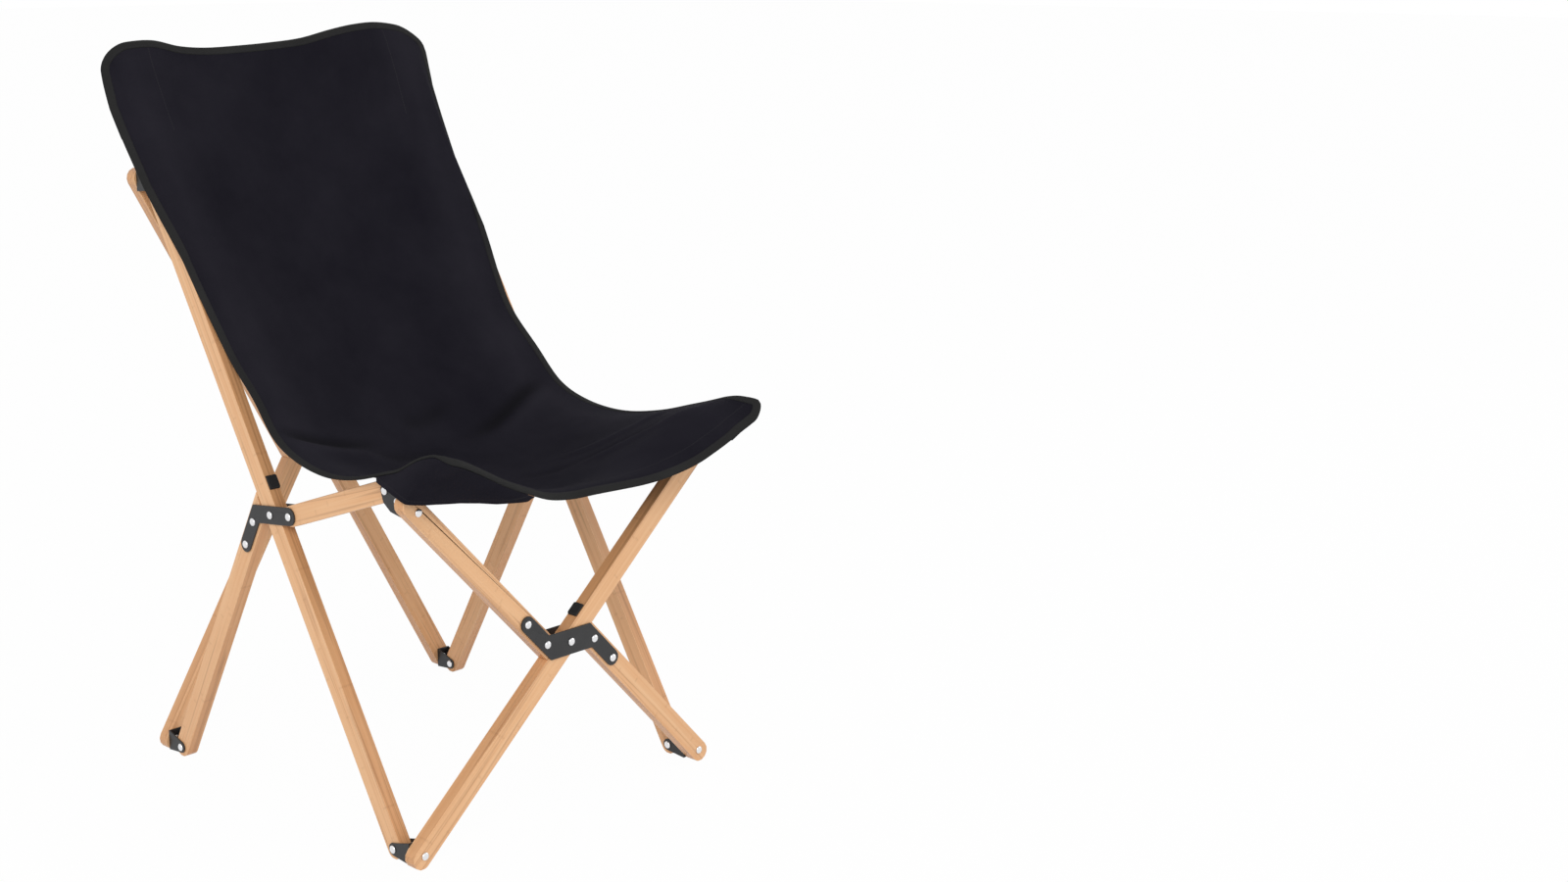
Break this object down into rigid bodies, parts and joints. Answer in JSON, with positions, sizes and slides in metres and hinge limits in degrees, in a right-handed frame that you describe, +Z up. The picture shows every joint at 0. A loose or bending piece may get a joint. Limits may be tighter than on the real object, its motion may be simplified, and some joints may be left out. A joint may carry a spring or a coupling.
{
  "type": "folding butterfly sling chair",
  "caption": "Folding butterfly chair: black canvas sling on scissor frames of flat bamboo bars with black steel corner brackets.",
  "frame": {"origin": "on the floor, under the middle of the overall width and depth", "axes": "+Z up, -Y the way the sitter faces, +X to the right of the pictured chair seen from its front"},
  "size_m": [0.506, 0.659, 0.8974],
  "materials": {
    "bamboo": "satin lacquered bamboo",
    "black_steel": "black powder coat",
    "zinc_steel": "zinc plated rivets",
    "rubber": "matt",
    "canvas": "black cotton canvas"
  },
  "bodies": {
    "front_left_foot": {"front_left_lower_bracket": "black_steel", "front_left_lower_bracket_side_rivet": "zinc_steel", "front_left_lower_cross_rivet": "zinc_steel"},
    "front_right_foot": {"front_right_lower_bracket": "black_steel", "front_right_lower_bracket_side_rivet": "zinc_steel", "front_right_lower_cross_rivet": "zinc_steel"},
    "front_left_top": {"front_left_upper_bracket": "black_steel", "front_left_upper_bracket_side_rivet": "zinc_steel", "front_left_upper_cross_rivet": "zinc_steel"},
    "front_right_top": {"front_right_upper_bracket": "black_steel", "front_right_upper_bracket_side_rivet": "zinc_steel", "front_right_upper_cross_rivet": "zinc_steel"},
    "back_left_foot": {"back_left_lower_bracket": "black_steel", "back_left_lower_bracket_side_rivet": "zinc_steel", "back_left_lower_cross_rivet": "zinc_steel"},
    "back_right_foot": {"back_right_lower_bracket": "black_steel", "back_right_lower_bracket_side_rivet": "zinc_steel"},
    "back_left_top": {"back_left_upper_bracket": "black_steel", "back_left_upper_bracket_side_rivet": "zinc_steel"},
    "back_right_top": {"back_right_upper_bracket": "black_steel", "back_right_upper_bracket_side_rivet": "zinc_steel"},
    "front_long": {"front_long_bar": "bamboo", "front_long_bar_pad": "rubber", "front_scissor_pivot": "zinc_steel"},
    "front_halves": {"front_upper_bar": "bamboo", "front_lower_bar": "bamboo", "front_outer_cross_plate": "black_steel", "front_inner_cross_plate": "black_steel"},
    "back_long": {"back_long_bar": "bamboo", "back_long_bar_pad": "rubber", "back_scissor_pivot": "zinc_steel", "back_right_upper_cross_rivet": "zinc_steel"},
    "back_halves": {"back_upper_bar": "bamboo", "back_lower_bar": "bamboo", "back_outer_cross_plate": "black_steel", "back_inner_cross_plate": "black_steel", "back_left_upper_cross_rivet": "zinc_steel", "back_right_lower_cross_rivet": "zinc_steel"},
    "left_long": {"left_long_bar": "bamboo", "left_long_bar_pad": "rubber", "left_scissor_pivot": "zinc_steel", "sling": "canvas", "sling_left_top_pocket": "canvas", "sling_right_top_pocket": "canvas", "sling_left_front_pocket": "canvas", "sling_right_front_pocket": "canvas"},
    "left_lower": {"left_lower_bar": "bamboo", "left_outer_link_plate": "black_steel", "left_inner_link_plate": "black_steel", "left_link_pivot": "zinc_steel"},
    "left_seat_link": {"left_seat_link_bar": "bamboo"},
    "right_long": {"right_long_bar": "bamboo", "right_long_bar_pad": "rubber", "right_scissor_pivot": "zinc_steel"},
    "right_lower": {"right_lower_bar": "bamboo", "right_outer_link_plate": "black_steel", "right_inner_link_plate": "black_steel", "right_link_pivot": "zinc_steel"},
    "right_seat_link": {"right_seat_link_bar": "bamboo"}
  },
  "joints": [
    {"name": "fold", "type": "hinge", "parent": "front_left_foot", "child": "left_long", "pos_m": [-0.225, -0.20775, 0.0121], "axis": [1, 0, 0], "range_deg": [0, 26.46], "deforming": ["sling", "sling_left_top_pocket", "sling_right_top_pocket", "sling_left_front_pocket", "sling_right_front_pocket"]},
    {"name": "left_scissor", "type": "hinge", "parent": "left_long", "child": "left_lower", "pos_m": [-0.225, 0.00575, 0.361], "axis": [1, 0, 0], "range_deg": [-52.95, 0]},
    {"name": "left_link", "type": "hinge", "parent": "left_lower", "child": "left_seat_link", "pos_m": [-0.225, -0.03026, 0.366], "axis": [1, 0, 0], "range_deg": [-40.84, 0]},
    {"name": "back_left_foot_hinge", "type": "hinge", "parent": "left_lower", "child": "back_left_foot", "pos_m": [-0.225, 0.21924, 0.0121], "axis": [1, 0, 0], "range_deg": [0, 27.19]},
    {"name": "back_left_foot_swing", "type": "hinge", "parent": "back_left_foot", "child": "back_long", "pos_m": [-0.225, 0.25409, 0.01459], "axis": [0, 0.9999, -0.0146], "range_deg": [-23.43, 0]},
    {"name": "back_scissor", "type": "hinge", "parent": "back_long", "child": "back_halves", "pos_m": [0, 0.25929, 0.372], "axis": [0, 0.9999, -0.0146], "range_deg": [0, 46.85]},
    {"name": "back_left_top_hinge", "type": "hinge", "parent": "left_long", "child": "back_left_top", "pos_m": [-0.225, 0.22966, 0.72693], "axis": [1, 0, 0], "range_deg": [-25.76, 0]},
    {"name": "front_left_foot_swing", "type": "hinge", "parent": "front_left_foot", "child": "front_long", "pos_m": [-0.225, -0.24405, 0.0151], "axis": [0, 1, 0], "range_deg": [-36.15, 0]},
    {"name": "front_scissor", "type": "hinge", "parent": "front_long", "child": "front_halves", "pos_m": [0, -0.24405, 0.21405], "axis": [0, 1, 0], "range_deg": [0, 72.29]},
    {"name": "front_right_foot_swing", "type": "hinge", "parent": "front_halves", "child": "front_right_foot", "pos_m": [0.225, -0.24405, 0.0151], "axis": [0, 1, 0], "range_deg": [-36.15, 0]},
    {"name": "front_left_top_swing", "type": "hinge", "parent": "front_halves", "child": "front_left_top", "pos_m": [-0.225, -0.24405, 0.413], "axis": [0, 1, 0], "range_deg": [-36.15, 0]},
    {"name": "front_right_top_swing", "type": "hinge", "parent": "front_long", "child": "front_right_top", "pos_m": [0.225, -0.24405, 0.413], "axis": [0, 1, 0], "range_deg": [0, 36.15]},
    {"name": "right_long_hinge", "type": "hinge", "parent": "front_right_foot", "child": "right_long", "pos_m": [0.225, -0.20775, 0.0121], "axis": [1, 0, 0], "range_deg": [0, 26.48]},
    {"name": "right_scissor", "type": "hinge", "parent": "right_long", "child": "right_lower", "pos_m": [0.225, 0.00575, 0.361], "axis": [1, 0, 0], "range_deg": [-52.95, 0]},
    {"name": "right_link", "type": "hinge", "parent": "right_lower", "child": "right_seat_link", "pos_m": [0.225, -0.03026, 0.366], "axis": [1, 0, 0], "range_deg": [-40.84, 0]},
    {"name": "back_right_foot_hinge", "type": "hinge", "parent": "right_lower", "child": "back_right_foot", "pos_m": [0.225, 0.21924, 0.0121], "axis": [1, 0, 0], "range_deg": [0, 27.19]},
    {"name": "back_right_top_hinge", "type": "hinge", "parent": "right_long", "child": "back_right_top", "pos_m": [0.225, 0.22966, 0.72693], "axis": [1, 0, 0], "range_deg": [-25.76, 0]}
  ],
  "couplings": [
    {"joint": "left_scissor", "follows": "fold", "ratio": -2},
    {"joint": "left_link", "follows": "fold", "ratio": -1.5427},
    {"joint": "back_left_foot_hinge", "follows": "fold", "ratio": 1.027},
    {"joint": "back_left_foot_swing", "follows": "fold", "ratio": -0.88477},
    {"joint": "back_scissor", "follows": "fold", "ratio": 1.7695},
    {"joint": "back_left_top_hinge", "follows": "fold", "ratio": -0.97296},
    {"joint": "front_left_foot_swing", "follows": "fold", "ratio": -1.3652},
    {"joint": "front_scissor", "follows": "fold", "ratio": 2.7304},
    {"joint": "front_right_foot_swing", "follows": "fold", "ratio": -1.3652},
    {"joint": "front_left_top_swing", "follows": "fold", "ratio": -1.3652},
    {"joint": "front_right_top_swing", "follows": "fold", "ratio": 1.3652},
    {"joint": "right_long_hinge", "follows": "fold", "ratio": 1},
    {"joint": "right_scissor", "follows": "fold", "ratio": -2},
    {"joint": "right_link", "follows": "fold", "ratio": -1.5427},
    {"joint": "back_right_foot_hinge", "follows": "fold", "ratio": 1.027},
    {"joint": "back_right_top_hinge", "follows": "fold", "ratio": -0.97296}
  ]
}
